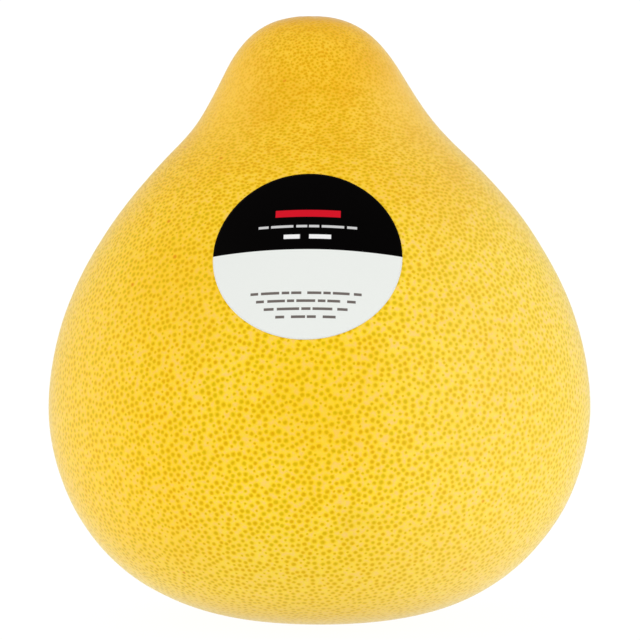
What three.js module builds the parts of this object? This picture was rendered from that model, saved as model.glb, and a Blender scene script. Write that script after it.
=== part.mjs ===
// A pomelo: a large pear-shaped citrus fruit that stands on its blossom end,
// with its dried calyx in the hollow at the top of the neck and a round paper
// label on its front.
//
// Units are millimetres. +Z is up, the fruit stands on z = 0, and the label
// faces -Y.

import * as THREE from "three";
import { mergeVertices } from "three/addons/utils/BufferGeometryUtils.js";

// Fruit: overall size
const HEIGHT = 166.8;
const BELLY_RADIUS = 75;
const BELLY_HEIGHT = 59;
const DEPTH_PER_WIDTH = 0.975; // front to back the fruit is a little slimmer than side to side

// Fruit: the flat ring that it stands on, round the blossom scar
const SCAR_RADIUS = 2.6;
const SCAR_DEPTH = 0.7;
const REST_RADIUS = 9;

// Fruit: shoulder and neck, as the outline's radius, height and slope from upright
const SHOULDER = { radius: 39.4, height: 130.1, slope: 45.4 };
const NECK = { radius: 24.1, height: 151.8, slope: 28.9 };
const CROWN_SLOPE = 83.1; // the crown still climbs a little where it meets the hollow

// Fruit: how far each stretch of the outline runs on before it turns
const BASE_SWEEP = 54.6;
const BELLY_SWEEP_DOWN = 17.8;
const BELLY_SWEEP_UP = 36;
const SHOULDER_SWEEP_DOWN = 12.2;
const SHOULDER_SWEEP_UP = 9.9;
const NECK_SWEEP_DOWN = 12.6;
const NECK_SWEEP_UP = 12.5;
const CROWN_SWEEP = 7;

// Fruit: the hollow at the top of the neck
const HOLLOW_RIM_RADIUS = 4.4;
const HOLLOW_FLOOR_RADIUS = 3.9;
const HOLLOW_DEPTH = 1.7;

// Fruit: the neck leans a little to the left, and the body isn't quite round
const NECK_LEAN = -2.5;
const LEAN_START_HEIGHT = 110;
const LEAN_END_HEIGHT = 170;
const LOBE_COUNT = 3;
const LOBE_SHARE = 0.004;
const LOBE_TURN = Math.PI / 2;

// Label: a flat 50 mm disc pressed onto the front of the shoulder
const LABEL_RADIUS = 25;
const LABEL_THICKNESS = 0.4;
const LABEL_GAP = 0.2;
const LABEL_HEIGHT = 103;
const LABEL_OFFSET = -3.3;
const LABEL_BEND_RADIUS = 75; // the curve that shortens the disc's reach across the rind

// Calyx: five blunt sepals round the cut stem, sunk in the hollow
const CALYX_GAP = 0.3;
const SEPAL_COUNT = 5;
const SEPAL_MEAN_RADIUS = 3;
const SEPAL_WAVE = 0.16;
const SEPAL_THICKNESS = 0.6;
const STEM_RADIUS = 1.5;
const STEM_HEIGHT = 1.15;

// How finely the solids are faceted
const FRUIT_SIDES = 72;
const OUTLINE_STEPS = 11;
const LABEL_SIDES = 48;
const LABEL_RINGS = 8;
const CALYX_SIDES = 40;

const rindMaterial = new THREE.MeshStandardMaterial({
  color: 0xf3c433,
  roughness: 0.5,
  metalness: 0,
});
const labelMaterial = new THREE.MeshStandardMaterial({
  color: 0xe9ebe8,
  roughness: 0.45,
  metalness: 0,
});
const calyxMaterial = new THREE.MeshStandardMaterial({
  color: 0x6e5a33,
  roughness: 0.85,
  metalness: 0,
});

// A unit vector along the outline, turned by slope degrees from upright towards the axis.
function uphill(slope) {
  const angle = THREE.MathUtils.degToRad(slope);
  return new THREE.Vector2(-Math.sin(angle), Math.cos(angle));
}

// One stretch of outline between two knots, each with its direction and how far it runs on.
function stretch(from, fromDirection, fromSweep, to, toDirection, toSweep) {
  return new THREE.CubicBezierCurve(
    from,
    from.clone().addScaledVector(fromDirection, fromSweep),
    to.clone().addScaledVector(toDirection, -toSweep),
    to,
  );
}

// The half outline from the blossom scar on the axis, round the belly and the
// neck, and down into the hollow, as x = radius and y = height.
function fruitOutline() {
  const outwards = new THREE.Vector2(1, 0);
  const upwards = new THREE.Vector2(0, 1);
  const rest = new THREE.Vector2(REST_RADIUS, 0);
  const belly = new THREE.Vector2(BELLY_RADIUS, BELLY_HEIGHT);
  const shoulder = new THREE.Vector2(SHOULDER.radius, SHOULDER.height);
  const neck = new THREE.Vector2(NECK.radius, NECK.height);
  const rim = new THREE.Vector2(HOLLOW_RIM_RADIUS, HEIGHT);
  const floorEdge = new THREE.Vector2(HOLLOW_FLOOR_RADIUS, HEIGHT - HOLLOW_DEPTH);
  const shoulderSlope = uphill(SHOULDER.slope);
  const neckSlope = uphill(NECK.slope);
  const crownSlope = uphill(CROWN_SLOPE);
  const curves = [
    stretch(rest, outwards, BASE_SWEEP, belly, upwards, BELLY_SWEEP_DOWN),
    stretch(belly, upwards, BELLY_SWEEP_UP, shoulder, shoulderSlope, SHOULDER_SWEEP_DOWN),
    stretch(shoulder, shoulderSlope, SHOULDER_SWEEP_UP, neck, neckSlope, NECK_SWEEP_DOWN),
    stretch(neck, neckSlope, NECK_SWEEP_UP, rim, crownSlope, CROWN_SWEEP),
  ];
  const outline = [new THREE.Vector2(0, SCAR_DEPTH), new THREE.Vector2(SCAR_RADIUS, 0)];
  for (const curve of curves) {
    const points = curve.getPoints(OUTLINE_STEPS);
    outline.push(...points.slice(0, OUTLINE_STEPS));
  }
  outline.push(rim, floorEdge, new THREE.Vector2(0, HEIGHT - HOLLOW_DEPTH));
  return outline;
}

// Spins an outline about Z, and welds it into one closed surface.
function spun(outline, sides) {
  const geometry = new THREE.LatheGeometry(outline, sides);
  geometry.rotateX(Math.PI / 2);
  geometry.deleteAttribute("normal");
  geometry.deleteAttribute("uv");
  return mergeVertices(geometry, 1e-4);
}

function leanAt(height) {
  return NECK_LEAN * THREE.MathUtils.smoothstep(height, LEAN_START_HEIGHT, LEAN_END_HEIGHT);
}

// Moves every point of a round body to where it lies on the real, slightly uneven fruit.
function shapeAsGrown(geometry) {
  const position = geometry.getAttribute("position");
  for (let i = 0; i < position.count; i++) {
    const x = position.getX(i);
    const y = position.getY(i);
    const height = position.getZ(i);
    const angle = Math.atan2(y, x);
    const swell = 1 + LOBE_SHARE * Math.cos(LOBE_COUNT * angle + LOBE_TURN);
    position.setX(i, x * swell + leanAt(height));
    position.setY(i, y * swell * DEPTH_PER_WIDTH);
  }
  return geometry;
}

// Puts the middle of the body's box over the origin, with its foot at z = 0.
function standOnOrigin(geometry) {
  geometry.computeBoundingBox();
  const { min, max } = geometry.boundingBox;
  geometry.translate(-(min.x + max.x) / 2, -(min.y + max.y) / 2, -min.z);
  return geometry;
}

function makeFruit() {
  const geometry = standOnOrigin(shapeAsGrown(spun(fruitOutline(), FRUIT_SIDES)));
  geometry.computeVertexNormals();
  const fruit = new THREE.Mesh(geometry, rindMaterial);
  fruit.name = "fruit";
  return fruit;
}

// The first point of the rind that a line from one side meets.
function rindHit(fruit, from, direction) {
  const [hit] = new THREE.Raycaster(from, direction).intersectObject(fruit);
  return hit.point;
}

// The label's place: its middle on the rind, and its right, up and outward directions there.
function labelFrame(fruit) {
  const reach = 2 * BELLY_RADIUS;
  const probe = LABEL_RADIUS / 2;
  const backwards = new THREE.Vector3(0, 1, 0);
  const at = (x, z) => rindHit(fruit, new THREE.Vector3(x, -reach, z), backwards);
  const middle = at(LABEL_OFFSET, LABEL_HEIGHT);
  const right = at(LABEL_OFFSET + probe, LABEL_HEIGHT).sub(at(LABEL_OFFSET - probe, LABEL_HEIGHT));
  const up = at(LABEL_OFFSET, LABEL_HEIGHT + probe).sub(at(LABEL_OFFSET, LABEL_HEIGHT - probe));
  right.normalize();
  const outward = right.clone().cross(up).normalize();
  return { middle, right, up: outward.clone().cross(right), outward };
}

// A thin disc whose every point is dropped straight onto the rind along the label's outward direction.
function makeLabel(fruit) {
  const { middle, right, up, outward } = labelFrame(fruit);
  const inward = outward.clone().negate();
  const outline = [new THREE.Vector2(0, 0)];
  for (let ring = 1; ring <= LABEL_RINGS; ring++) {
    const along = (LABEL_RADIUS * ring) / LABEL_RINGS;
    outline.push(new THREE.Vector2(LABEL_BEND_RADIUS * Math.sin(along / LABEL_BEND_RADIUS), 0));
  }
  for (const { x } of outline.slice().reverse()) outline.push(new THREE.Vector2(x, LABEL_THICKNESS));
  const geometry = spun(outline, LABEL_SIDES);
  const position = geometry.getAttribute("position");
  for (let i = 0; i < position.count; i++) {
    const start = middle
      .clone()
      .addScaledVector(right, position.getX(i))
      .addScaledVector(up, position.getY(i))
      .addScaledVector(outward, LABEL_RADIUS);
    const point = rindHit(fruit, start, inward);
    point.addScaledVector(outward, LABEL_GAP + position.getZ(i));
    position.setXYZ(i, point.x, point.y, point.z);
  }
  geometry.computeVertexNormals();
  const label = new THREE.Mesh(geometry, labelMaterial);
  label.name = "label";
  return label;
}

// Low blunt sepals round a short cut stem: a spun outline whose rim waves in and out.
function makeCalyx(fruit) {
  const outline = [
    new THREE.Vector2(0, 0),
    new THREE.Vector2(SEPAL_MEAN_RADIUS * 0.9, 0),
    new THREE.Vector2(SEPAL_MEAN_RADIUS, SEPAL_THICKNESS * 0.35),
    new THREE.Vector2(SEPAL_MEAN_RADIUS * 0.92, SEPAL_THICKNESS * 0.8),
    new THREE.Vector2(STEM_RADIUS * 1.15, SEPAL_THICKNESS),
    new THREE.Vector2(STEM_RADIUS, SEPAL_THICKNESS * 1.2),
    new THREE.Vector2(STEM_RADIUS, STEM_HEIGHT * 0.9),
    new THREE.Vector2(STEM_RADIUS * 0.88, STEM_HEIGHT),
    new THREE.Vector2(0, STEM_HEIGHT),
  ];
  const geometry = spun(outline, CALYX_SIDES);
  const position = geometry.getAttribute("position");
  for (let i = 0; i < position.count; i++) {
    const x = position.getX(i);
    const y = position.getY(i);
    const share = THREE.MathUtils.smoothstep(Math.hypot(x, y), STEM_RADIUS, SEPAL_MEAN_RADIUS);
    const wave = 1 + SEPAL_WAVE * share * Math.cos(SEPAL_COUNT * Math.atan2(y, x));
    position.setX(i, x * wave);
    position.setY(i, y * wave);
  }
  geometry.computeVertexNormals();
  const top = rindHit(fruit, new THREE.Vector3(leanAt(HEIGHT), 0, 2 * HEIGHT), new THREE.Vector3(0, 0, -1));
  const calyx = new THREE.Mesh(geometry, calyxMaterial);
  calyx.name = "calyx";
  calyx.position.set(top.x, top.y, top.z + CALYX_GAP);
  return calyx;
}

const pomelo = new THREE.Group();
const fruit = makeFruit();
pomelo.add(fruit, makeLabel(fruit), makeCalyx(fruit));

export default pomelo;
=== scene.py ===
import math
import random

import bmesh
import bpy
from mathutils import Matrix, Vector, noise
from mathutils.bvhtree import BVHTree
from mathutils.geometry import interpolate_bezier
from mathutils.kdtree import KDTree


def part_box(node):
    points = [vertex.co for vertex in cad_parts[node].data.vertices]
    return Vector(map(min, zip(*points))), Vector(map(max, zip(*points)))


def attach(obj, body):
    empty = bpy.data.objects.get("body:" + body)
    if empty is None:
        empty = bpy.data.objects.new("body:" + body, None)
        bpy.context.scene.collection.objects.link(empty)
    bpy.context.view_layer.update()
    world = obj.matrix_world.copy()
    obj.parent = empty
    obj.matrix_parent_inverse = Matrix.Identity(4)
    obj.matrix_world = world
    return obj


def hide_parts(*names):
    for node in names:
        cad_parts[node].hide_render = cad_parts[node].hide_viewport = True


# A pear-shaped pomelo that stands on its blossom end, with a round paper label on its front.
# Meshes are shaped in millimetres about the fruit's foot, and shrunk to metres when they are done.

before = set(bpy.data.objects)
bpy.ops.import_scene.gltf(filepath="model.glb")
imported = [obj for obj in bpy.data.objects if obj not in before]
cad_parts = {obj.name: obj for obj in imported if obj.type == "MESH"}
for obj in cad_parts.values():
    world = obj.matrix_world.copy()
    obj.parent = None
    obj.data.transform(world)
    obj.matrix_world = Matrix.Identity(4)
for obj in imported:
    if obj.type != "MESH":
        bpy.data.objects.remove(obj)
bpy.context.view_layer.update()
mm = 0.001
up = Vector((0, 0, 1))


# Small helpers

def tint(red, green, blue):
    # a colour as a screen shows it, 0 to 255, turned into the numbers that a shader mixes
    shares = [channel / 255 for channel in (red, green, blue)]
    return [s / 12.92 if s <= 0.04045 else ((s + 0.055) / 1.055) ** 2.4 for s in shares] + [1]


def easeBetween(value, low, high):
    share = min(max((value - low) / (high - low), 0), 1)
    return share * share * (3 - 2 * share)


def drawLine(bm, points):
    # joins the points with edges, for a spin
    corners = [bm.verts.new(point) for point in points]
    for first, second in zip(corners, corners[1:]):
        bm.edges.new((first, second))


def spinRound(bm, steps):
    # turns the drawn line once about Z, and closes the poles
    bmesh.ops.spin(bm, geom=bm.verts[:] + bm.edges[:], cent=(0, 0, 0), axis=up, angle=2 * math.pi,
                   steps=steps, use_merge=True)
    bmesh.ops.remove_doubles(bm, verts=bm.verts, dist=0.0005)
    bmesh.ops.recalc_face_normals(bm, faces=bm.faces)


def makePiece(bm, name, material, standsFor):
    # shrinks the finished mesh to metres, and puts it on the fruit in place of a plain solid
    bmesh.ops.scale(bm, vec=(mm, mm, mm), verts=bm.verts)
    for face in bm.faces:
        face.smooth = True
    mesh = bpy.data.meshes.new(name)
    bm.to_mesh(mesh)
    bm.free()
    mesh.materials.append(material)
    piece = bpy.data.objects.new(name, mesh)
    bpy.context.collection.objects.link(piece)
    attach(piece, "root")
    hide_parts(standsFor)
    return piece


# A material is written as expressions on the two classes below

class Shade:
    # a socket that can be added, multiplied and compared like a number
    def __init__(self, finish, socket):
        self.finish = finish
        self.socket = socket

    def __add__(self, other):
        return self.finish.maths("ADD", self, other)

    def __radd__(self, other):
        return self.finish.maths("ADD", other, self)

    def __sub__(self, other):
        return self.finish.maths("SUBTRACT", self, other)

    def __rsub__(self, other):
        return self.finish.maths("SUBTRACT", other, self)

    def __mul__(self, other):
        return self.finish.maths("MULTIPLY", self, other)

    def __rmul__(self, other):
        return self.finish.maths("MULTIPLY", other, self)

    def __truediv__(self, other):
        return self.finish.maths("DIVIDE", self, other)

    def __lt__(self, other):
        return self.finish.maths("LESS_THAN", self, other)

    def __abs__(self):
        return self.finish.maths("ABSOLUTE", self)

    def other(self, name):
        # another output of the same node
        return Shade(self.finish, self.socket.node.outputs[name])


class Finish:
    # the nodes of one material, or of the world, all added by its add
    def __init__(self, owner):
        self.owner = owner
        owner.use_nodes = True
        owner.node_tree.nodes.clear()

    def add(self, kind, settings=None, inputs=None, output=0):
        node = self.owner.node_tree.nodes.new(kind)
        for name, value in (settings or {}).items():
            setattr(node, name, value)
        for name, value in (inputs or {}).items():
            if isinstance(value, Shade):
                self.owner.node_tree.links.new(value.socket, node.inputs[name])
            else:
                node.inputs[name].default_value = value
        return Shade(self, node.outputs[output] if len(node.outputs) else None)

    def maths(self, operation, first, second=0.0):
        return self.add("ShaderNodeMath", {"operation": operation}, {0: first, 1: second})

    def vectors(self, operation, first, second, output=0):
        return self.add("ShaderNodeVectorMath", {"operation": operation}, {0: first, 1: second}, output)

    def rise(self, value, low, high):
        # 0 below low, 1 above high, and smooth between
        return self.add("ShaderNodeMapRange", {"interpolation_type": "SMOOTHSTEP"},
                        {"Value": value, "From Min": low, "From Max": high})

    def fall(self, value, low, high):
        # 1 below low, 0 above high, and smooth between
        return 1 - self.rise(value, low, high)

    def scaled(self, first, share):
        return self.add("ShaderNodeVectorMath", {"operation": "SCALE"}, {0: first, "Scale": share})

    def distance(self, first, second):
        return self.vectors("DISTANCE", first, second, output="Value")

    def mixed(self, share, first, second):
        return self.add("ShaderNodeMix", {"data_type": "RGBA"}, {0: share, 6: first, 7: second}, output=2)

    def marked(self, colour, mask, mark):
        # a mark's tint laid over a colour, where its mask is and as strongly as the mark says
        return self.mixed(mask * mark["share"], colour, mark["tint"])

    def cloud(self, place, size, detail=2.0, output=0):
        # soft noise whose patches are about size across
        return self.add("ShaderNodeTexNoise", {}, {"Vector": place, "Scale": 1 / size, "Detail": detail},
                        output)

    def strayed(self, place, size, amount):
        # the place moved about by up to half the amount, each way
        stray = self.vectors("SUBTRACT", self.cloud(place, size, 1.0, output="Color"), (0.5, 0.5, 0.5))
        return self.vectors("ADD", place, self.scaled(stray, amount))

    def millimetres(self):
        # the place on the piece, in millimetres
        return self.scaled(self.add("ShaderNodeTexCoord", output="Object"), 1 / mm)

    def finished(self, look):
        surface = self.add("ShaderNodeBsdfPrincipled", {}, look)
        self.add("ShaderNodeOutputMaterial", {}, {"Surface": surface})
        return self.owner


# Camera: level with the fruit's middle, a long way off

cameraPlan = {
    "distance": 850,
    "elevation": 2.0,
    "aimHeight": 82.9,
    "aimRight": 0.08,
    "seenWidth": 177.8,
}


def placeCamera(plan):
    camera = bpy.data.objects.new("camera", bpy.data.cameras.new("camera"))
    bpy.context.collection.objects.link(camera)
    tilt = math.radians(plan["elevation"])
    back = Vector((0, -math.cos(tilt), math.sin(tilt)))
    aim = Vector((plan["aimRight"], 0, plan["aimHeight"]))
    camera.location = (aim + back * plan["distance"]) * mm
    camera.rotation_euler = (-back).to_track_quat("-Z", "Y").to_euler()
    camera.data.lens = camera.data.sensor_width * plan["distance"] / plan["seenWidth"]
    camera.data.clip_start = 0.01
    bpy.context.scene.camera = camera
    print("camera placed")


placeCamera(cameraPlan)


# Rind: the whole fruit, spun from its outline and then made a little uneven

# In millimetres and degrees. A mark's range is where it begins and where it is full: in millimetres
# of height, reach or way across, in shares of a cloud's noise, or for a gland in that gland's radii
rind = {
    "height": 166.8,
    "bellyRadius": 75,
    "bellyHeight": 59,
    "depthPerWidth": 0.975,
    "scarRadius": 2.6,
    "scarDepth": 0.7,
    "scarLip": 0.05,
    "restRadius": 9,
    "shoulder": {"radius": 39.4, "height": 130.1, "slope": 45.4},
    "neck": {"radius": 24.1, "height": 151.8, "slope": 28.9},
    "crownSlope": 83.1,
    "rimRadius": 4.4,
    "wallDepth": 0.9625,
    "floorRadius": 3.85,
    "floorDepth": 1.75,
    "sweeps": {
        "scar": (1.4, 0.6),
        "rest": (1.0, 1.5),
        "belly": (54.6, 17.8),
        "shoulder": (36, 12.2),
        "neck": (9.9, 12.6),
        "rim": (12.5, 7),
        "wall": (0.4, 0.5),
        "floor": (0.55, 3.0),
    },
    "lean": -2.5,
    "leanStart": 110,
    "leanEnd": 170,
    "lobes": 3,
    "lobeShare": 0.004,
    "lobeTurn": math.pi / 2,
    "steps": 300,
    "spacing": 0.92,
    "fineSpacing": 0.3,
    "relief": {
        "broadSize": 46,
        "broadDepth": 0.38,
        "fineSize": 13,
        "fineDepth": 0.1,
        "keptFromFoot": (1.0, 12),
        "keptFromTop": (0.5, 6),
    },
    "puckers": {
        "folds": 9,
        "depth": 0.14,
        "start": (3.5, 6),
        "end": (6, 10),
        "wander": 0.25,
        "wanderSize": 7,
    },
    "glands": {
        "seed": 7,
        "bellySpacing": 1.9,
        "neckSpacing": 1.2,
        "crowdStart": 82,
        "crowdEnd": 147,
        "stray": 0.55,
        "pushes": 2,
        "pushedBy": 6,
        "pushShare": 0.3,
        "smallShare": 0.28,
        "smallRadius": (0.16, 0.23),
        "largeRadius": (0.29, 0.41),
        "ownRoom": (0.46, 0.7),
        "neckGrowth": 0.2,
        "layers": ["glandOne", "glandTwo", "glandThree", "glandFour"],
    },
    "skin": {"tint": tint(255, 222, 72), "neckTint": tint(252, 206, 68)},
    "fleck": {"tint": tint(254, 212, 112), "size": 1.2, "range": (0.4, 0.62)},
    "halo": {"tint": tint(255, 216, 30), "neckTint": tint(248, 198, 44), "range": (0.8, 2.2)},
    "core": {"tint": tint(216, 184, 0), "warmTint": tint(229, 171, 0), "neckTint": tint(222, 175, 0),
             "warmNeckTint": tint(229, 164, 4), "range": (0.3, 1.25), "share": 0.95, "ownShare": 0.05},
    "warmth": {"size": 7.0, "range": (0.4, 0.65), "byNumber": 0.45, "byCloud": 0.3, "byRipeness": 0.25},
    "sore": {"tint": tint(228, 130, 24), "often": 0.001, "share": 0.6},
    "ragged": {"size": 0.6, "onBody": 0.3, "onNeck": 0.55},
    "flattened": {"share": 0.4, "widened": 0.4, "rise": (104, 124), "fall": (130, 156)},
    "onNeck": (95, 150),
    "neckPatch": {"tint": tint(240, 178, 30), "size": 13.0, "range": (0.4, 0.65), "share": 0.5},
    # the neck's left and right sides paler, with their glands faded: painted sheen
    "side": {"tint": tint(253, 210, 104), "middle": -0.8, "range": (8, 25), "heights": (122, 148),
             "share": 0.6, "fade": 0.6},
    "ripe": {"tint": tint(249, 194, 36), "size": 34.0, "across": 0.0035, "upwards": 0.002,
             "range": (0.4, 0.9), "share": 0.4},
    "drift": {"size": 9.0, "stray": 14.0},
    "blushesAndCreaseShade": [
        # the first is darker where the right shoulder has a faint crease: partly the rind's own colour,
        # partly painted shade
        {"place": (36, -28, 121), "reach": 10, "share": 0.4, "tint": tint(238, 176, 40)},
        {"place": (-10, -27, 143), "reach": 14, "share": 0.35, "tint": tint(236, 176, 32)},
        {"place": (3, -25, 151), "reach": 10, "share": 0.3, "tint": tint(246, 184, 26)},
        {"place": (15, -15, 157), "reach": 11, "share": 0.4, "tint": tint(238, 174, 44)},
        {"place": (-5, -70, 72), "reach": 30, "share": 0.45, "tint": tint(250, 202, 20)},
        {"place": (-37, -50, 97), "reach": 30, "share": 0.5, "tint": tint(249, 195, 28)},
        {"place": (9, -66, 33), "reach": 9, "share": 0.25, "tint": tint(232, 190, 66)},
        {"place": (38, -58, 53), "reach": 8, "share": 0.4, "tint": tint(250, 190, 44)},
    ],
    # darker towards the foot, on skin and glands: painted shade
    "foot": {"tint": tint(236, 200, 76), "coreTint": tint(214, 168, 10), "range": (0, 45), "share": 0.6},
    # a painted sheen on the right side, and a fainter one towards the left edge
    "paintedSheen": {"tint": tint(255, 254, 244), "range": (0, 55), "share": 0.055, "lessOnCore": 0.03,
              "fade": 0.24},
    "lesserPaintedSheen": {"range": (-74, -42), "share": 0.03, "fade": 0.12},
    # the crown more orange and darker, partly its own colour and partly painted shade, and its rim darker
    # still as painted shade
    "crown": {"tint": tint(236, 172, 8), "range": (158, 167), "share": 0.45},
    "rim": {"tint": tint(222, 158, 0), "range": (163.5, 166.5), "share": 0.6},
    "under": {"tint": tint(226, 178, 34), "range": (0, 14), "share": 0.4, "shade": 0.1},
    "ends": {"size": 1.2, "stray": 1.6},
    "scar": {"tint": tint(142, 104, 48), "middle": (0, 0, 0.4), "range": (1.6, 3.2), "share": 0.85},
    "hollow": {"tint": tint(186, 156, 44), "middle": (-2.5, 0, 165.4), "range": (3.0, 6.5), "share": 0.55},
    "pits": {"size": 0.45, "share": 0.25, "depth": 0.07 * mm, "strength": 0.7},
    "roughness": 0.42,
    "coreRoughness": 0.08,
    "surface": {
        "Specular IOR Level": 0.05,
        "Subsurface Weight": 0.1,
        "Subsurface Radius": (1.0, 0.55, 0.12),
        "Subsurface Scale": 0.8 * mm,
        "Sheen Weight": 0.48,
        "Sheen Roughness": 0.3,
        "Sheen Tint": (0.92, 1.0, 0.88, 1.0),
    },
}

outwards, inwards, downwards = Vector((1, 0, 0)), Vector((-1, 0, 0)), Vector((0, 0, -1))


def slopeUp(degrees):
    # the way that the outline runs, turned from upright towards the axis
    return Vector((-math.sin(math.radians(degrees)), 0, math.cos(math.radians(degrees))))


def stretch(start, startWay, startSweep, end, endWay, endSweep, spacing):
    # one smooth stretch of the outline, without its last point
    handles = start + startWay * startSweep, end - endWay * endSweep
    coarse = interpolate_bezier(start, *handles, end, 24)
    length = sum((b - a).length for a, b in zip(coarse, coarse[1:]))
    return interpolate_bezier(start, *handles, end, max(3, round(length / spacing) + 1))[:-1]


def rindOutline(plan):
    # knots from the scar up to the hollow of the calyx, each as its place and the way through it
    top = plan["height"]
    shoulder, neck, sweeps = plan["shoulder"], plan["neck"], plan["sweeps"]
    shoulderWay, neckWay = slopeUp(shoulder["slope"]), slopeUp(neck["slope"])
    start = (Vector((0, 0, plan["scarDepth"])), outwards)
    knots = [
        ("scar", (Vector((plan["scarRadius"], 0, plan["scarLip"])), outwards), "fineSpacing"),
        ("rest", (Vector((plan["restRadius"], 0, 0)), outwards), "fineSpacing"),
        ("belly", (Vector((plan["bellyRadius"], 0, plan["bellyHeight"])), up), "spacing"),
        ("shoulder", (Vector((shoulder["radius"], 0, shoulder["height"])), shoulderWay), "spacing"),
        ("neck", (Vector((neck["radius"], 0, neck["height"])), neckWay), "spacing"),
        ("rim", (Vector((plan["rimRadius"], 0, top)), slopeUp(plan["crownSlope"])), "spacing"),
        ("wall", (Vector((plan["floorRadius"], 0, top - plan["wallDepth"])), downwards), "fineSpacing"),
        ("floor", (Vector((0, 0, top - plan["floorDepth"])), inwards), "fineSpacing"),
    ]
    points = []
    for name, end, spacing in knots:
        points += stretch(*start, sweeps[name][0], *end, sweeps[name][1], plan[spacing])
        start = end
    return points + [start[0]]


def leanAt(plan, height):
    return plan["lean"] * easeBetween(height, plan["leanStart"], plan["leanEnd"])


def asGrown(plan, place):
    # the lean of the neck, the body's lobes and its slimmer depth, as the solid has them
    angle = math.atan2(place.y, place.x)
    swell = 1 + plan["lobeShare"] * math.cos(plan["lobes"] * angle + plan["lobeTurn"])
    return Vector((place.x * swell + leanAt(plan, place.z), place.y * swell * plan["depthPerWidth"], place.z))


def standInBox(bm, node):
    # puts the mesh where the solid's box is
    low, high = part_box(node)
    xs, ys, zs = zip(*(vert.co for vert in bm.verts))
    middle = Vector(((min(xs) + max(xs)) / 2, (min(ys) + max(ys)) / 2, min(zs)))
    goal = Vector(((low.x + high.x) / 2, (low.y + high.y) / 2, low.z)) / mm
    bmesh.ops.translate(bm, vec=goal - middle, verts=bm.verts)
    return goal - middle


def addRelief(bm, plan, shift):
    # low swells and dimples all over, and faint puckers that run in to the calyx
    bm.normal_update()
    relief, puckers = plan["relief"], plan["puckers"]
    topMiddle = Vector((leanAt(plan, plan["height"]), 0, plan["height"])) + shift
    moves = []
    for vert in bm.verts:
        place = vert.co
        broad = noise.noise(place / relief["broadSize"]) * relief["broadDepth"]
        fine = noise.noise(place / relief["fineSize"]) * relief["fineDepth"]
        kept = easeBetween(place.z, *relief["keptFromFoot"])
        kept *= easeBetween(plan["height"] - place.z, *relief["keptFromTop"])
        away = place - topMiddle
        reach = Vector((away.x, away.y)).length
        near = easeBetween(reach, *puckers["start"]) * (1 - easeBetween(reach, *puckers["end"]))
        wander = puckers["wander"] * noise.noise(place / puckers["wanderSize"])
        angle = math.atan2(away.y, away.x) + wander
        fold = -puckers["depth"] * near * (0.5 + 0.5 * math.cos(puckers["folds"] * angle)) ** 2
        onTop = 1 if place.z > plan["neck"]["height"] else 0
        moves.append(vert.normal * ((broad + fine) * kept + fold * onTop))
    for vert, move in zip(bm.verts, moves):
        vert.co += move


# The rind's oil glands: darker dots, each with its own place and size

def scatterGlands(plan, outline, shift, surface):
    # places in one tight spiral from the foot to the top, each strayed a little, with its spacing
    glandPlan = plan["glands"]
    belly, neck = glandPlan["bellySpacing"], glandPlan["neckSpacing"]
    turn = math.pi * (3 - math.sqrt(5))  # the golden angle
    rowsApart = 0.866  # for rows of dots that are packed as closely as can be
    draw = random.Random(glandPlan["seed"])
    glands = []
    grown = 0.0
    for start, end in zip(outline, outline[1:]):
        middle = (start + end) / 2
        crowded = easeBetween(middle.z, glandPlan["crowdStart"], glandPlan["crowdEnd"])
        spacing = belly + (neck - belly) * crowded
        along = end - start
        more = 2 * math.pi * middle.x * along.length / (rowsApart * spacing ** 2)
        while len(glands) < grown + more:
            share = (len(glands) - grown) / more
            way = draw.uniform(0, 2 * math.pi)
            stray = spacing * glandPlan["stray"] * math.sqrt(draw.random())
            spot = start + along * share + along.normalized() * stray * math.sin(way)
            angle = turn * len(glands) + stray * math.cos(way) / max(spot.x, 1)
            spot = Vector((spot.x * math.cos(angle), spot.x * math.sin(angle), spot.z))
            glands.append((surface.find_nearest(asGrown(plan, spot) + shift)[0], spacing))
        grown += more
    return glands


def plantTree(glands):
    tree = KDTree(len(glands))
    for index, (place, size) in enumerate(glands):
        tree.insert(place, index)
    tree.balance()
    return tree


def pushApart(plan, glands, surface):
    # moves each gland off the ones that crowd it, and back onto the rind
    tree = plantTree(glands)
    moved = []
    for place, spacing in glands:
        push = Vector()
        for neighbour, index, away in tree.find_n(place, plan["pushedBy"] + 1)[1:]:
            push += (place - neighbour) * max(spacing / max(away, 0.1) - 1, 0)
        moved.append((surface.find_nearest(place + push * plan["pushShare"])[0], spacing))
    return moved


def growGlands(plan, outline, shift, surface):
    # every gland as its place and its radius, and on the belly no two of them touch
    glandPlan = plan["glands"]
    belly, neck = glandPlan["bellySpacing"], glandPlan["neckSpacing"]
    bellyRoom, neckRoom = glandPlan["ownRoom"]
    glands = scatterGlands(plan, outline, shift, surface)
    for step in range(glandPlan["pushes"]):
        glands = pushApart(glandPlan, glands, surface)
    tree = plantTree(glands)
    draw = random.Random(glandPlan["seed"])
    grown = []
    for place, spacing in glands:
        small = draw.random() < glandPlan["smallShare"]
        sizes = glandPlan["smallRadius"] if small else glandPlan["largeRadius"]
        crowded = (belly - spacing) / (belly - neck)
        swell = 1 + glandPlan["neckGrowth"] * crowded
        free = bellyRoom * (1 - crowded) + neckRoom * crowded
        nearest = tree.find_n(place, 2)[1][2]
        grown.append((place, min(spacing * draw.uniform(*sizes) * swell, nearest * free)))
    print(len(grown), "glands grown")
    return grown


def markGlands(bm, plan, glands):
    # every face keeps its four nearest glands, as a place and a radius, for the finish to draw
    tree = plantTree(glands)
    layers = [bm.faces.layers.float_color.new(name) for name in plan["glands"]["layers"]]
    for face in bm.faces:
        near = tree.find_n(face.calc_center_median(), len(layers))
        for layer, (place, index, away) in zip(layers, near):
            face[layer] = (*place, glands[index][1])


# The rind's finish

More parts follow.
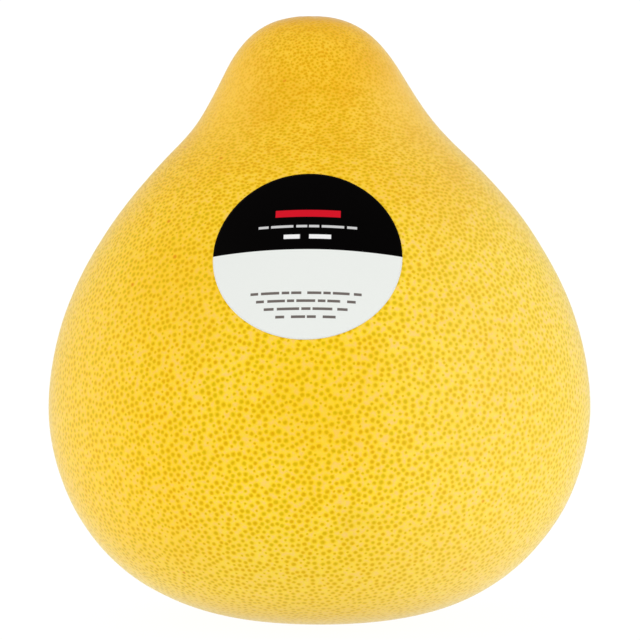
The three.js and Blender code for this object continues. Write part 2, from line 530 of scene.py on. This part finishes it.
def nearestGland(finish, place, layers, squash):
    # how far a point is from the nearest gland, in that gland's radii, and the gland's own number
    reach, number = None, None
    for layer in layers:
        centre = finish.add("ShaderNodeAttribute", {"attribute_name": layer}, output="Vector")
        gap = finish.vectors("MULTIPLY", finish.vectors("SUBTRACT", place, centre), squash)
        away = finish.distance(gap, (0, 0, 0)) / centre.other("Alpha")
        own = finish.add("ShaderNodeTexWhiteNoise", {}, {"Vector": centre}, output="Value")
        if reach is None:
            reach, number = away, own
        else:
            number = number + (own - number) * (away < reach)
            reach = finish.maths("MINIMUM", away, reach)
    return reach, number


def skinColour(finish, plan, place, masks):
    # the skin between the glands
    fleck, patch = plan["fleck"], plan["neckPatch"]
    inFleck = finish.rise(finish.cloud(place, fleck["size"], 1.0), *fleck["range"])
    inPatch = finish.rise(finish.cloud(place, patch["size"], 2.0), *patch["range"])
    skin = finish.mixed(inFleck, plan["skin"]["tint"], fleck["tint"])
    skin = finish.mixed(masks["halo"], skin, plan["halo"]["tint"])
    onNeck = finish.mixed(masks["halo"], plan["skin"]["neckTint"], plan["halo"]["neckTint"])
    onNeck = finish.marked(onNeck, inPatch, patch)
    skin = finish.mixed(masks["neck"], skin, onNeck)
    # painted sheen on the neck's sides
    skin = finish.marked(skin, masks["side"], plan["side"])
    skin = finish.marked(skin, masks["ripe"], plan["ripe"])
    drifted = finish.strayed(place, plan["drift"]["size"], plan["drift"]["stray"])
    # tint patches, one of them partly the painted shade of a crease
    for tintPatch in plan["blushesAndCreaseShade"]:
        near = finish.fall(finish.distance(drifted, tintPatch["place"]), 0, tintPatch["reach"])
        skin = finish.marked(skin, near, tintPatch)
    # painted shade, darker towards the foot
    return finish.marked(skin, masks["foot"], plan["foot"])


def glandColour(finish, plan, place, number, masks):
    # a gland is warmer by its own number, by the patch that it is in, and on the ripe side
    core, warmth, foot = plan["core"], plan["warmth"], plan["foot"]
    warm = finish.rise(finish.cloud(place, warmth["size"], 2.0), *warmth["range"])
    warm = warmth["byNumber"] * number + warmth["byCloud"] * warm + warmth["byRipeness"] * masks["ripe"]
    colour = finish.mixed(warm, core["tint"], core["warmTint"])
    onNeck = finish.mixed(warm, core["neckTint"], core["warmNeckTint"])
    colour = finish.mixed(masks["neck"], colour, onNeck)
    # painted shade on the glands towards the foot
    colour = finish.mixed(masks["foot"] * foot["share"], colour, foot["coreTint"])
    isSore = 1 - (number < 1 - plan["sore"]["often"])
    return finish.marked(colour, isSore, plan["sore"])


def rindFinish(plan):
    finish = Finish(bpy.data.materials.new("rind"))
    place = finish.millimetres()
    height = finish.add("ShaderNodeSeparateXYZ", {}, {0: place}, output="Z")
    across = height.other("X")
    neck = finish.rise(height, *plan["onNeck"])

    # the glands are round on the body and wavy on the neck, and at its foot they are flattened
    # and run together
    ragged, flattened = plan["ragged"], plan["flattened"]
    wavy = finish.strayed(place, ragged["size"], ragged["onBody"] + ragged["onNeck"] * neck)
    flat = finish.rise(height, *flattened["rise"]) * finish.fall(height, *flattened["fall"])
    flat = flat * flattened["share"]
    wide = 1 - flattened["widened"] * flat
    squash = finish.add("ShaderNodeCombineXYZ", {}, {"X": wide, "Y": wide, "Z": 1 + flat})
    reach, number = nearestGland(finish, wavy, plan["glands"]["layers"], squash)
    core = finish.fall(reach, *plan["core"]["range"])

    sides, ripeness = plan["side"], plan["ripe"]
    # where the neck's sides get their painted sheen
    side = finish.rise(abs(across - sides["middle"]), *sides["range"])
    side = side * finish.rise(height, *sides["heights"])
    ripe = finish.cloud(place, ripeness["size"], 3.0) - across * ripeness["across"]
    ripe = finish.rise(ripe + height * ripeness["upwards"], *ripeness["range"])
    masks = {
        "halo": finish.fall(reach, *plan["halo"]["range"]),
        "neck": neck,
        "side": side,
        "ripe": ripe,
        "foot": finish.fall(height, *plan["foot"]["range"]),
    }
    skin = skinColour(finish, plan, place, masks)
    spots = glandColour(finish, plan, place, number, masks)

    # the glands fade towards the sides, under a painted sheen: a pale tint laid over the right side, and a
    # fainter one towards the left edge
    paintedSheen, lesserSheen = plan["paintedSheen"], plan["lesserPaintedSheen"]
    inPaintedSheen = finish.rise(across, *paintedSheen["range"])
    inLesserSheen = finish.fall(across, *lesserSheen["range"])
    inked = core * (plan["core"]["share"] + plan["core"]["ownShare"] * number) * (1 - sides["fade"] * side)
    inked = inked * (1 - paintedSheen["fade"] * inPaintedSheen - lesserSheen["fade"] * inLesserSheen)
    colour = finish.mixed(inked, skin, spots)
    paintedSheenShare = inPaintedSheen * (paintedSheen["share"] - paintedSheen["lessOnCore"] * core) + inLesserSheen * lesserSheen["share"]
    colour = finish.mixed(paintedSheenShare, colour, paintedSheen["tint"])

    # the orange crown, partly its own colour and partly painted shade, its rim darkened as painted shade, the
    # shaded underside, and both ends of the core
    colour = finish.marked(colour, finish.rise(height, *plan["crown"]["range"]), plan["crown"])
    colour = finish.marked(colour, finish.rise(height, *plan["rim"]["range"]), plan["rim"])
    under = finish.fall(height, *plan["under"]["range"])
    colour = finish.marked(colour, under, plan["under"])
    shade = 1 - plan["under"]["shade"] * under
    colour = finish.add("ShaderNodeHueSaturation", {}, {"Value": shade, "Color": colour})
    ends = finish.strayed(place, plan["ends"]["size"], plan["ends"]["stray"])
    for mark in (plan["scar"], plan["hollow"]):
        near = finish.fall(finish.distance(ends, mark["middle"]), *mark["range"])
        colour = finish.marked(colour, near, mark)

    pits = plan["pits"]
    relief = finish.cloud(place, pits["size"], 2.0) * pits["share"] - core
    bump = finish.add("ShaderNodeBump", {}, {
        "Height": relief,
        "Distance": pits["depth"],
        "Strength": pits["strength"],
    })
    return finish.finished({
        "Base Color": colour,
        "Roughness": plan["roughness"] + plan["coreRoughness"] * core,
        "Normal": bump,
        **plan["surface"],
    })


def makeRind(plan):
    outline = rindOutline(plan)
    bm = bmesh.new()
    drawLine(bm, outline)
    spinRound(bm, plan["steps"])
    for vert in bm.verts:
        vert.co = asGrown(plan, vert.co)
    shift = standInBox(bm, "fruit")
    addRelief(bm, plan, shift)
    surface = BVHTree.FromBMesh(bm)
    markGlands(bm, plan, growGlands(plan, outline, shift, surface))
    makePiece(bm, "rind", rindFinish(plan), "fruit")
    print("rind made")
    return surface, shift


rindSurface, rindShift = makeRind(rind)


# Label: a round paper disc pressed onto the front of the shoulder

smallInk = tint(112, 104, 100)

# In millimetres. A bar's place is from the label's middle, and no bar is lettering
label = {
    "radius": 25,
    "thickness": 0.13,
    "lift": 0.02,
    "height": 103,
    "right": -3.3,
    "bend": 75,
    "rings": 36,
    "sides": 160,
    "curl": {"reach": 2.2, "height": 0.12, "size": 9, "offset": Vector((0, 0, 3))},
    "paper": tint(234, 237, 233),
    "black": tint(3, 2, 2),
    "splitUp": 0.25,
    "inkBlur": 0.07,
    "wordBlur": 0.02,
    "wordWave": 0.25,
    "wavesPerWord": 0.38,
    "bars": [
        {"up": 11.4, "words": 1, "pitch": 17.0, "gap": 0.0, "thick": 2.2, "ink": tint(212, 22, 40)},
        {"up": 7.3, "words": 6, "pitch": 4.4, "gap": 0.7, "thick": 0.75, "ink": tint(205, 205, 205)},
        {"up": 4.1, "words": 2, "pitch": 6.6, "gap": 0.9, "thick": 1.3, "ink": tint(240, 240, 240)},
        {"up": -12.2, "words": 8, "pitch": 3.7, "gap": 0.75, "thick": 0.75, "ink": smallInk},
        {"up": -14.4, "words": 7, "pitch": 3.8, "gap": 0.75, "thick": 0.75, "ink": smallInk},
        {"up": -16.6, "words": 5, "pitch": 4.5, "gap": 0.75, "thick": 0.75, "ink": smallInk},
        {"up": -18.8, "words": 4, "pitch": 4.1, "gap": 0.75, "thick": 0.75, "ink": smallInk},
    ],
    "fibres": {"size": 0.6, "depth": 0.01 * mm, "strength": 0.4},
    "roughness": 0.42,
    "blackRoughness": 0.36,
    "shine": 0.015,
}


def barMask(finish, plan, bar, across, upwards):
    # one bar, cut into words of uneven length by a wave that moves the cuts
    blur = plan["inkBlur"]
    length = bar["words"] * bar["pitch"] - bar["gap"]
    inLength = finish.fall(abs(across), length / 2 - blur, length / 2 + blur)
    inLine = finish.fall(abs(upwards - bar["up"]), bar["thick"] / 2 - blur, bar["thick"] / 2 + blur)
    if not bar["gap"]:
        return inLine * inLength
    along = (across + length / 2) / bar["pitch"]
    turns = 2 * math.pi * round(bar["words"] * plan["wavesPerWord"]) / bar["words"]
    along = along + plan["wordWave"] * finish.maths("SINE", along * turns)
    wordEnd = 1 - bar["gap"] / bar["pitch"]
    inWord = finish.fall(finish.maths("FRACT", along), wordEnd - plan["wordBlur"], wordEnd + plan["wordBlur"])
    return inLine * inLength * inWord


def labelFinish(plan):
    finish = Finish(bpy.data.materials.new("labelPaper"))
    flat = finish.add("ShaderNodeUVMap", {"uv_map": "print"})
    width = 2 * plan["radius"]
    across = finish.add("ShaderNodeSeparateXYZ", {}, {0: flat}, output="X")
    upwards = (across.other("Y") - 0.5) * width
    across = (across - 0.5) * width
    split, blur = plan["splitUp"], plan["inkBlur"] / 2
    black = finish.rise(upwards, split - blur, split + blur)
    colour = finish.mixed(black, plan["paper"], plan["black"])
    for bar in plan["bars"]:
        colour = finish.mixed(barMask(finish, plan, bar, across, upwards), colour, bar["ink"])
    fibres = plan["fibres"]
    bump = finish.add("ShaderNodeBump", {}, {
        "Height": finish.cloud(finish.millimetres(), fibres["size"], 3.0),
        "Distance": fibres["depth"],
        "Strength": fibres["strength"],
    })
    return finish.finished({
        "Base Color": colour,
        "Roughness": plan["roughness"] + (plan["blackRoughness"] - plan["roughness"]) * black,
        "Normal": bump,
        "Specular IOR Level": plan["shine"],
    })


def labelAxes(plan, surface):
    # the label's middle on the rind, and its right, up and outward ways there
    probe = plan["radius"] / 2
    x, z = plan["right"], plan["height"]

    def frontAt(right, height):
        # a place on the rind's front, reached from well before it
        return surface.ray_cast(Vector((right, -2 * rind["bellyRadius"], height)), Vector((0, 1, 0)))[0]

    middle = frontAt(x, z)
    right = (frontAt(x + probe, z) - frontAt(x - probe, z)).normalized()
    above = frontAt(x, z + probe) - frontAt(x, z - probe)
    outward = right.cross(above).normalized()
    return middle, right, outward.cross(right), outward


def makeLabel(plan, surface):
    middle, right, above, outward = labelAxes(plan, surface)
    bm = bmesh.new()
    step = plan["radius"] / plan["rings"]
    drawLine(bm, [Vector((step * ring, 0, 0)) for ring in range(plan["rings"] + 1)])
    spinRound(bm, plan["sides"])
    if bm.faces[:][0].normal.z < 0:
        bmesh.ops.reverse_faces(bm, faces=bm.faces)
    flat = bm.loops.layers.uv.new("print")
    for face in bm.faces:
        for loop in face.loops:
            loop[flat].uv = loop.vert.co.xy / (2 * plan["radius"]) + Vector((0.5, 0.5))
    curl = plan["curl"]
    for vert in bm.verts:
        # each point is bent onto the rind, and here and there the edge has come up a little
        out = vert.co.length
        shrink = plan["bend"] * math.sin(out / plan["bend"]) / out if out else 1
        nearEdge = easeBetween(out, plan["radius"] - curl["reach"], plan["radius"])
        curled = curl["height"] * nearEdge * max(noise.noise(vert.co / curl["size"] + curl["offset"]), 0)
        start = middle + (right * vert.co.x + above * vert.co.y) * shrink + outward * plan["radius"]
        vert.co = surface.ray_cast(start, -outward)[0] + outward * (plan["lift"] + curled)
    piece = makePiece(bm, "paperLabel", labelFinish(plan), "label")
    thicken = piece.modifiers.new("paper", "SOLIDIFY")
    thicken.thickness = plan["thickness"] * mm
    thicken.offset = 1
    print("label made")


makeLabel(label, rindSurface)


# Calyx: the dry star of sepals and the cut stem, sunk in the hollow at the top

# In millimetres
calyx = {
    "radius": 3.05,
    "sepals": 5,
    "wave": 0.15,
    "thickness": 0.75,
    "stemRadius": 1.5,
    "stemHeight": 1.35,
    "sink": 0.15,
    "steps": 150,
    "spacing": 0.14,
    "crackDepth": 0.12,
    "crackSharpness": 6,
    "swells": [{"often": 2.2, "depth": 0.06}, {"often": 5, "depth": 0.03}],
    "swellsAbove": 0.3,
    "sepal": tint(112, 88, 30),
    "paleSepal": tint(150, 112, 50),
    "patches": {"size": 1.1, "range": (0.32, 0.68)},
    "stem": tint(176, 140, 84),
    "stemMiddle": (-2.5, 0, 165.8),
    "stemRange": (1.2, 1.9),
    "specks": {"tint": tint(64, 42, 16), "size": 0.25, "range": (0.4, 0.75), "share": 0.6},
    "roughness": 0.78,
    "speckRoughness": 0.12,
    "reliefDepth": 0.08 * mm,
    "shine": 0.1,
}


def calyxOutline(plan):
    # from under the sepals to the middle of the cut stem: each stretch as its start, the way and sweep
    # there, then its end, the way and sweep there
    tip, thick = plan["radius"], plan["thickness"]
    stem, top = plan["stemRadius"], plan["stemHeight"]
    underTip = Vector((tip * 0.9, 0, 0))
    edge = Vector((tip, 0, thick * 0.5))
    overTip = Vector((tip * 0.86, 0, thick))
    stemFoot = Vector((stem, 0, thick * 1.05))
    stemSide = Vector((stem, 0, top * 0.94))
    stemRim = Vector((stem * 0.84, 0, top))
    stemMiddle = Vector((0, 0, top * 0.86))
    knots = [
        (Vector((0, 0, 0)), outwards, 1, underTip, outwards, 0.5),
        (underTip, outwards, 0.3, edge, up, 0.2),
        (edge, up, 0.25, overTip, inwards, 0.15),
        (overTip, inwards, 0.5, stemFoot, up, 0.1),
        (stemFoot, up, 0.1, stemSide, up, 0.05),
        (stemSide, up, 0.05, stemRim, inwards, 0.1),
        (stemRim, inwards, 0.2, stemMiddle, inwards, 0.4),
    ]
    points = []
    for knot in knots:
        points += stretch(*knot, plan["spacing"])
    return points + [stemMiddle]


def calyxFinish(plan):
    finish = Finish(bpy.data.materials.new("calyxWood"))
    place = finish.millimetres()
    patches, specks = plan["patches"], plan["specks"]
    patch = finish.rise(finish.cloud(place, patches["size"], 4.0), *patches["range"])
    speck = finish.rise(finish.cloud(place, specks["size"], 3.0), *specks["range"])
    onSepals = finish.rise(finish.distance(place, plan["stemMiddle"]), *plan["stemRange"])
    colour = finish.mixed(patch, plan["sepal"], plan["paleSepal"])
    colour = finish.mixed(onSepals, plan["stem"], colour)
    colour = finish.marked(colour, speck, specks)
    relief = (patch + speck) * 0.5
    bump = finish.add("ShaderNodeBump", {}, {"Height": relief, "Distance": plan["reliefDepth"]})
    return finish.finished({
        "Base Color": colour,
        "Roughness": plan["roughness"] + plan["speckRoughness"] * speck,
        "Normal": bump,
        "Specular IOR Level": plan["shine"],
    })


def makeCalyx(plan, surface, shift):
    bm = bmesh.new()
    drawLine(bm, calyxOutline(plan))
    spinRound(bm, plan["steps"])
    for vert in bm.verts:
        # the sepals come from a wave round the edge, with a crack between each two
        flat = Vector((vert.co.x, vert.co.y))
        around = plan["sepals"] * math.atan2(flat.y, flat.x)
        share = easeBetween(flat.length, plan["stemRadius"], plan["radius"])
        wave = 1 + plan["wave"] * share * math.cos(around)
        rough = sum(noise.noise(vert.co * swell["often"]) * swell["depth"] for swell in plan["swells"])
        crack = plan["crackDepth"] * share * max(-math.cos(around), 0) ** plan["crackSharpness"]
        vert.co.x *= wave
        vert.co.y *= wave
        if vert.co.z > plan["swellsAbove"] and flat.length > 1e-6:
            vert.co.z += rough - crack
    top = Vector((leanAt(rind, rind["height"]), 0, 2 * rind["height"])) + shift
    floor = surface.ray_cast(top, -up)[0]
    bmesh.ops.translate(bm, vec=floor - up * plan["sink"], verts=bm.verts)
    makePiece(bm, "calyxButton", calyxFinish(plan), "calyx")
    print("calyx made")


makeCalyx(calyx, rindSurface, rindShift)


# Studio: a white floor and surround, with two wide soft lamps

# In metres and watts
studio = {
    "floorRadius": 3.0,
    "floorSides": 96,
    "floorDrop": 0.00005,
    "floorGrey": 0.08,
    "floorGlow": 0.96,
    "surround": 0.72,
    "backdrop": 1.05,
    "lampAim": Vector((0, 0, 0.08)),
    "lamps": [
        {"name": "keyLamp", "place": Vector((1.25, -0.6, 0.55)), "size": 0.9, "power": 4.6},
        {"name": "fillLamp", "place": Vector((-1.05, -0.6, 0.8)), "size": 0.9, "power": 4.2},
    ],
}


def makeFloor(plan):
    bm = bmesh.new()
    bmesh.ops.create_circle(bm, cap_ends=True, segments=plan["floorSides"], radius=plan["floorRadius"])
    bmesh.ops.translate(bm, vec=-up * plan["floorDrop"], verts=bm.verts)
    mesh = bpy.data.meshes.new("floor")
    bm.to_mesh(mesh)
    bm.free()
    finish = Finish(bpy.data.materials.new("floorWhite"))
    mesh.materials.append(finish.finished({
        "Base Color": [plan["floorGrey"]] * 3 + [1],
        "Roughness": 0.9,
        "Specular IOR Level": 0.0,
        "Emission Color": (1, 1, 1, 1),
        "Emission Strength": plan["floorGlow"],
    }))
    floor = bpy.data.objects.new("floor", mesh)
    bpy.context.collection.objects.link(floor)


def lightStudio(plan):
    world = bpy.data.worlds.new("surround")
    bpy.context.scene.world = world
    finish = Finish(world)
    seen = finish.add("ShaderNodeLightPath", output="Is Camera Ray")
    strength = plan["surround"] + (plan["backdrop"] - plan["surround"]) * seen
    sky = finish.add("ShaderNodeBackground", {}, {"Color": (1, 1, 1, 1), "Strength": strength})
    finish.add("ShaderNodeOutputWorld", {}, {"Surface": sky})
    for lamp in plan["lamps"]:
        light = bpy.data.lights.new(lamp["name"], "AREA")
        light.size = lamp["size"]
        light.energy = lamp["power"]
        holder = bpy.data.objects.new(lamp["name"], light)
        holder.location = lamp["place"]
        holder.rotation_euler = (plan["lampAim"] - lamp["place"]).to_track_quat("-Z", "Y").to_euler()
        bpy.context.collection.objects.link(holder)
    bpy.context.scene.view_settings.view_transform = "Standard"
    print("studio lit")


makeFloor(studio)
lightStudio(studio)
